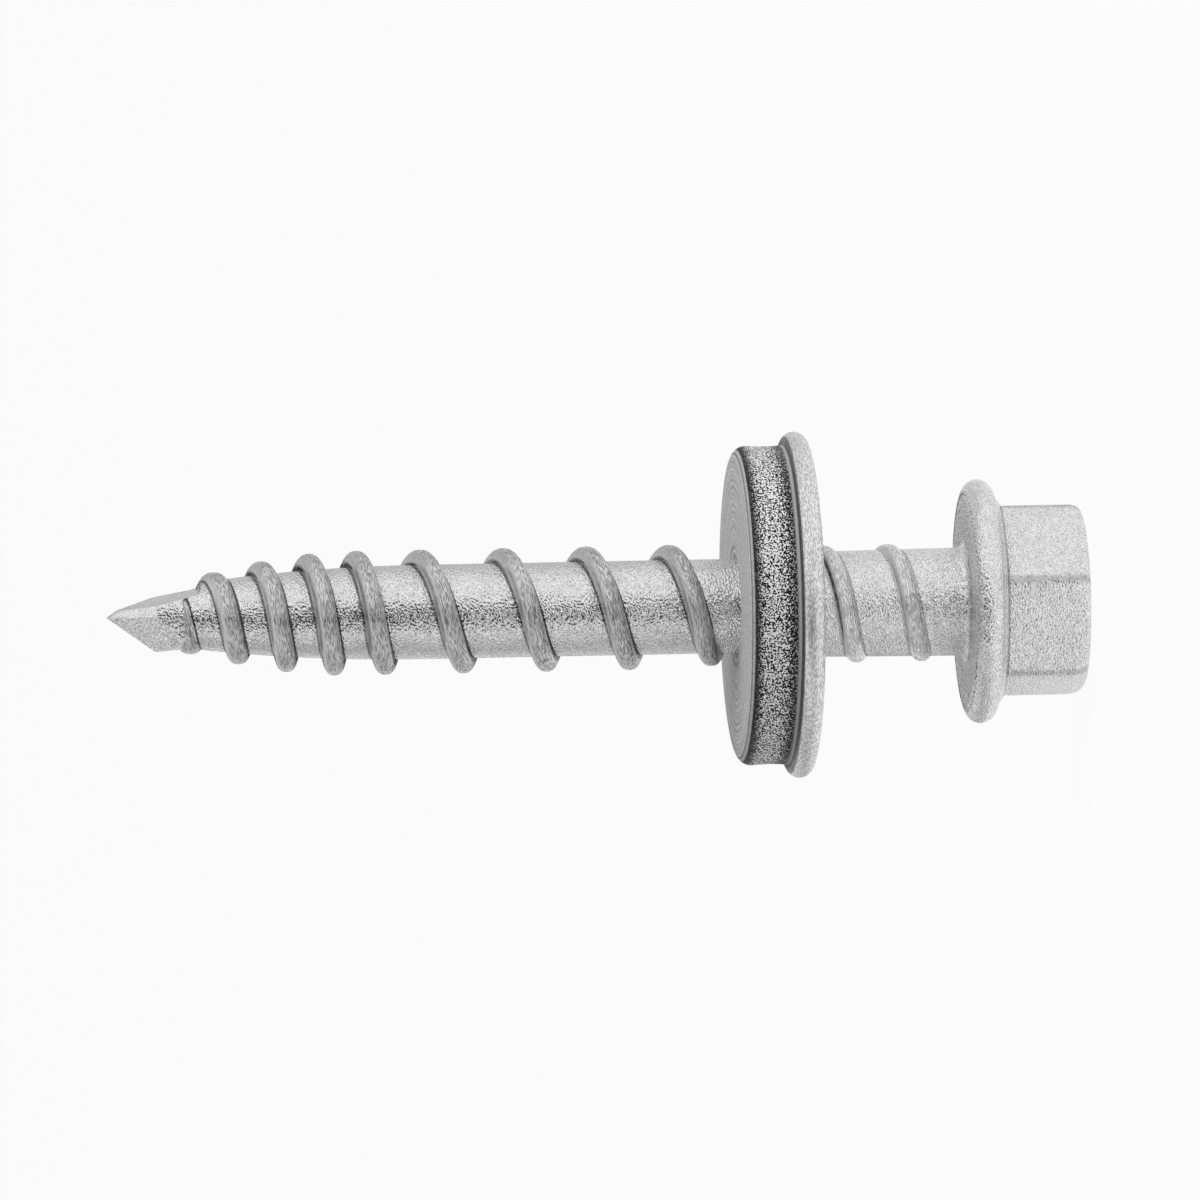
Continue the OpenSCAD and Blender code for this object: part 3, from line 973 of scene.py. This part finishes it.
def speckled_side(tree, grain, z, line_z):
    """Tone of the seal's side: specks that are thickest along its middle as a painted highlight, between
    two lines, the front one black with painted shade.

    What is added to the grain falls with the distance from the middle, so that fewer specks stay,
    which paints shade towards the side's edges.
    """
    side = line_z - SEAL_LOW.z
    near, far = SIDE_HIGHLIGHT_REACH
    back_start, back_end = BACK_FADE
    off_middle = away_from(tree, z, SEAL_LOW.z + side * SIDE_HIGHLIGHT_MIDDLE)
    # Painted highlight: more bright specks along the side's middle, and painted shade towards its edges.
    gain = ramp(tree, off_middle, side * near, side * far, *SIDE_HIGHLIGHT_GAIN)
    specks = ramp(tree, maths(tree, "ADD", grain, gain), *SPECK_LIMITS)
    back_line = fade(tree, z, SEAL_LOW.z + back_start, SEAL_LOW.z + back_end, BACK_TONE)
    # Painted shade: a black line and a darker band along the seal's rounded front edge.
    off_line = ramp(tree, away_from(tree, z, line_z), *EDGE_FADE, EDGE_SHADE_TONE, 1.0)
    return product(tree, maths(tree, "MAXIMUM", specks, back_line), off_line)


def seal_rubber(colours, sizes):
    """The seal's rubber: a pale face and lip, dusty and with a painted sheen, and a dark side with
    bright specks.

    A fine line of painted shade runs round the face's edge and a black one below it.
    """
    material, tree = new_material("seal_rubber")
    grain = add_grain(tree, colours.stipple, 1.0, 0.0)
    dust = add_grain(tree, colours.dust, 1.0, 0.0)
    place = object_place(tree)
    z = place["Z"]
    radius = axis_distance(tree, place)
    line_z = SEAL_HIGH.z - EDGE_LINE
    side_tone = speckled_side(tree, grain["Grain"], z, line_z)
    side_colour = blend(tree, side_tone, colours.rubber_dark, colours.rubber_light)
    lip_inside, lip_root = LIP_FADE
    is_lip = fade(tree, radius, sizes.bore_r - lip_inside, sizes.bore_r - lip_root)
    # Painted shade: a fine darker line round the face's edge.
    off_rim = ramp(tree, away_from(tree, z, SEAL_HIGH.z - RIM_LINE), *RIM_FADE, RIM_SHADE_TONE, 1.0)
    face_tone = product(
        tree, moulded_rings(tree, radius, colours.ring), graded(tree, dust["Grain"], DUST_TONE),
        graded(tree, grain["Grain"], FACE_TONE), maths(tree, "MAXIMUM", off_rim, is_lip),
    )
    # Pale face colour: dust and a painted sheen.
    face_colour = blend(tree, face_tone, colours.rubber_dark, colours.rubber_dust_and_sheen)
    above_line = ramp(tree, z, line_z - EDGE_BLUR, line_z + EDGE_BLUR)
    is_face = maths(tree, "MAXIMUM", above_line, is_lip)
    colour = blend(tree, is_face, side_colour, face_colour)
    rubber = {"Base Color": colour, "Roughness": 0.6, "Specular IOR Level": 0.2}
    surface(tree, colours.seal_relief, grain["Height"], **rubber)
    return material


def add_piece(name, mesh, material):
    """A smooth object of one material."""
    shade_smooth(mesh, SHARP_EDGE)
    mesh.materials.append(material)
    return add_object(name, mesh)


class WOODSCREW_OT_screw(Operator):
    """Make the screw: head, flange, shank, both threads and the slash point in one closed mesh."""

    bl_idname = "woodscrew.screw"
    bl_label = "Screw"

    def execute(self, context):
        sizes = context.scene.woodscrew_screw
        mesh = combine(
            "zinc_screw",
            grid_mesh("shank", revolve(shank_section(sizes), sizes.columns)),
            [
                grid_mesh("hexagon", hex_surface(sizes)),
                grid_mesh("lower_ridge", lower_ridge(sizes)),
                grid_mesh("upper_ridge", upper_ridge(sizes)),
            ],
            [grid_mesh("slash", slash_wedge(sizes)), grid_mesh("facet", facet_wedge(sizes))],
        )
        write_thread_phase(mesh, sizes)
        mesh.materials.clear()
        piece = add_piece("zinc_screw", mesh, screw_zinc(context.scene.woodscrew_colours, sizes))
        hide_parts("screw")
        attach(piece, "screw")
        return {"FINISHED"}


class WOODSCREW_OT_plate(Operator):
    """Make the washer's metal plate."""

    bl_idname = "woodscrew.plate"
    bl_label = "Washer Plate"

    def execute(self, context):
        sizes = context.scene.woodscrew_washer
        mesh = grid_mesh("zinc_plate", revolve(plate_section(sizes), sizes.columns), close_rows=True)
        piece = add_piece("zinc_plate", mesh, plate_zinc(context.scene.woodscrew_colours))
        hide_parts("washer_plate")
        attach(piece, "washer")
        return {"FINISHED"}


class WOODSCREW_OT_seal(Operator):
    """Make the washer's rubber seal, and the two halves of its lip."""

    bl_idname = "woodscrew.seal"
    bl_label = "Washer Seal"

    def execute(self, context):
        sizes = context.scene.woodscrew_washer
        mesh = grid_mesh("rubber_seal", revolve(seal_section(sizes), sizes.columns), close_rows=True)
        rubber = seal_rubber(context.scene.woodscrew_colours, sizes)
        piece = add_piece("rubber_seal", mesh, rubber)
        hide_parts("washer_seal")
        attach(piece, "washer")
        for name, side in (("seal_lip_front", -1.0), ("seal_lip_back", 1.0)):
            lip = add_piece(name, grid_mesh(name, lip_half(sizes, side * TURN / 4.0)), rubber)
            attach(lip, "washer")
            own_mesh(lip)
        return {"FINISHED"}


def seen_ray(tree):
    """A factor that is 1 on camera, glossy and transmission rays and 0 on all others."""
    path = add_node(tree, "ShaderNodeLightPath").outputs
    direct = maths(tree, "MAXIMUM", path["Is Camera Ray"], path["Is Glossy Ray"])
    return maths(tree, "MAXIMUM", direct, path["Is Transmission Ray"])


def floor_material():
    """Pale floor: mostly plain white where it is seen, and lit for the rest, which keeps the shadow."""
    material, tree = new_material("studio_floor")
    lit = add_node(tree, "ShaderNodeBsdfDiffuse", {"Color": FLOOR_COLOUR})
    plain = add_node(tree, "ShaderNodeEmission", {"Strength": 1.0})
    share = product(tree, seen_ray(tree), FLOOR_PLAIN)
    mix = add_node(tree, "ShaderNodeMixShader", {0: share, 1: lit.outputs[0], 2: plain.outputs[0]})
    add_node(tree, "ShaderNodeOutputMaterial", {"Surface": mix.outputs[0]})
    return material


def make_world(ambient):
    """Nearly white world where it is seen, and a weaker ambient light elsewhere."""
    world = bpy.data.worlds.new("studio_world")
    world.use_nodes = True
    tree = world.node_tree
    tree.nodes.clear()
    levels_seen = {"Value": seen_ray(tree), "To Min": ambient, "To Max": WORLD_SEEN}
    strength = add_node(tree, "ShaderNodeMapRange", levels_seen).outputs["Result"]
    background = add_node(tree, "ShaderNodeBackground", {"Color": WHITE, "Strength": strength})
    add_node(tree, "ShaderNodeOutputWorld", {"Surface": background.outputs[0]})
    bpy.context.scene.world = world


def flat_card(name, centre, right, up):
    """A flat rectangle about a centre, from its two half sides."""
    c, r, u = (np.asarray(v, dtype=float) for v in (centre, right, up))
    mesh = bpy.data.meshes.new(name)
    mesh.from_pydata([c - r - u, c + r - u, c + r + u, c - r + u], [], [(0, 1, 2, 3)])
    return add_object(name, mesh)


def area_light(name, place, side, power):
    """A square lamp at a place, which faces the screw and doesn't show in reflections."""
    data = bpy.data.lights.new(name, "AREA")
    data.size = side
    data.energy = power
    lamp = add_object(name, data)
    lamp.location = place
    lamp.visible_camera = False
    lamp.visible_glossy = False
    lamp.rotation_euler = (Vector(LAMP_AIM) - Vector(place)).to_track_quat("-Z", "Y").to_euler()


def make_camera(stage):
    """Long-lens camera: it looks along +Y, turned by the yaw, with the screw's point to the left."""
    ahead = Vector((0.0, math.cos(stage.yaw), -math.sin(stage.yaw)))
    right = (Vector((0.0, 0.0, -1.0)) + ahead * ahead.z).normalized()
    up = (-ahead).cross(right)
    c, s = math.cos(stage.roll), math.sin(stage.roll)
    right, up = right * c + up * s, up * c - right * s
    data = bpy.data.cameras.new("camera")
    data.lens = stage.lens
    data.clip_start = CAMERA_CLIP
    camera = add_object("camera", data)
    distance = stage.picture_width * data.lens / data.sensor_width
    place = Vector(stage.target) - ahead * distance
    axes = Matrix((right, up, -ahead)).transposed().to_4x4()
    camera.matrix_world = Matrix.Translation(place) @ axes
    bpy.context.scene.camera = camera


def reflection_card(name, start, end, brightness):
    """A grey card that stands on the floor between two points, and that only reflections see.

    Its brightness changes from its foot, beside the head, to the part beside the threaded core.
    """
    middle = (start + end) / 2.0
    half = (end - start) / 2.0
    tall = CARD_HEIGHT / 2.0
    card = flat_card(name, (*middle, tall), (*half, 0.0), (0.0, 0.0, tall))
    material, tree = new_material(name)
    z = object_place(tree)["Z"]
    strength = ramp(tree, z, PLATE_LOW.z - CARD_BLEND, SEAL_HIGH.z, *brightness)
    glow = add_node(tree, "ShaderNodeEmission", {"Strength": strength})
    add_node(tree, "ShaderNodeOutputMaterial", {"Surface": glow.outputs[0]})
    card.data.materials.append(material)
    card.visible_camera = False
    card.visible_diffuse = False
    card.visible_transmission = False
    card.visible_shadow = False


class WOODSCREW_OT_stage(Operator):
    """Make the pale floor, the studio light and the camera."""

    bl_idname = "woodscrew.stage"
    bl_label = "Studio Stage"

    def execute(self, context):
        stage = context.scene.woodscrew_stage
        floor = flat_card(
            "studio_floor", (0.0, 0.0, -FLOOR_DROP), (FLOOR_HALF, 0.0, 0.0), (0.0, FLOOR_HALF, 0.0)
        )
        floor.data.materials.append(floor_material())
        make_world(stage.ambient)
        area_light("key", KEY_PLACE, KEY_SIDE, stage.key_power)
        area_light("fill", FILL_PLACE, FILL_SIDE, stage.fill_power)
        cards = (
            stage.front_card, stage.side_card, stage.lower_card,
            stage.back_card, stage.front_card, stage.upper_card,
        )
        for index, (start, end, card) in enumerate(zip(CARD_CORNERS, CARD_CORNERS[1:], cards)):
            reflection_card("card_%d" % index, start, end, card)
        make_camera(stage)
        context.scene.view_settings.view_transform = "Standard"
        return {"FINISHED"}


OPERATORS = (WOODSCREW_OT_screw, WOODSCREW_OT_plate, WOODSCREW_OT_seal, WOODSCREW_OT_stage)
GROUPS = {
    "woodscrew_screw": ScrewSizes,
    "woodscrew_washer": WasherSizes,
    "woodscrew_colours": FinishColours,
    "woodscrew_stage": StageSettings,
}


class WOODSCREW_PT_panel(Panel):
    """Lists the pieces and their settings."""

    bl_idname = "WOODSCREW_PT_panel"
    bl_label = "Wood Screw"
    bl_space_type = "VIEW_3D"
    bl_region_type = "UI"
    bl_category = "Wood Screw"

    def draw(self, context):
        for operator in OPERATORS:
            self.layout.operator(operator.bl_idname)
        for name, group in GROUPS.items():
            box = self.layout.box()
            settings = getattr(context.scene, name)
            for key in group.__annotations__:
                box.prop(settings, key)


CLASSES = (*GROUPS.values(), *OPERATORS, WOODSCREW_PT_panel)


def register():
    for cls in CLASSES:
        bpy.utils.register_class(cls)
    for name, group in GROUPS.items():
        setattr(bpy.types.Scene, name, PointerProperty(type=group))


def unregister():
    for name in GROUPS:
        delattr(bpy.types.Scene, name)
    for cls in reversed(CLASSES):
        bpy.utils.unregister_class(cls)


def main():
    """Registers the classes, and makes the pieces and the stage."""
    register()
    bpy.ops.woodscrew.screw()
    bpy.ops.woodscrew.plate()
    bpy.ops.woodscrew.seal()
    bpy.ops.woodscrew.stage()


if __name__ == "__main__":
    main()
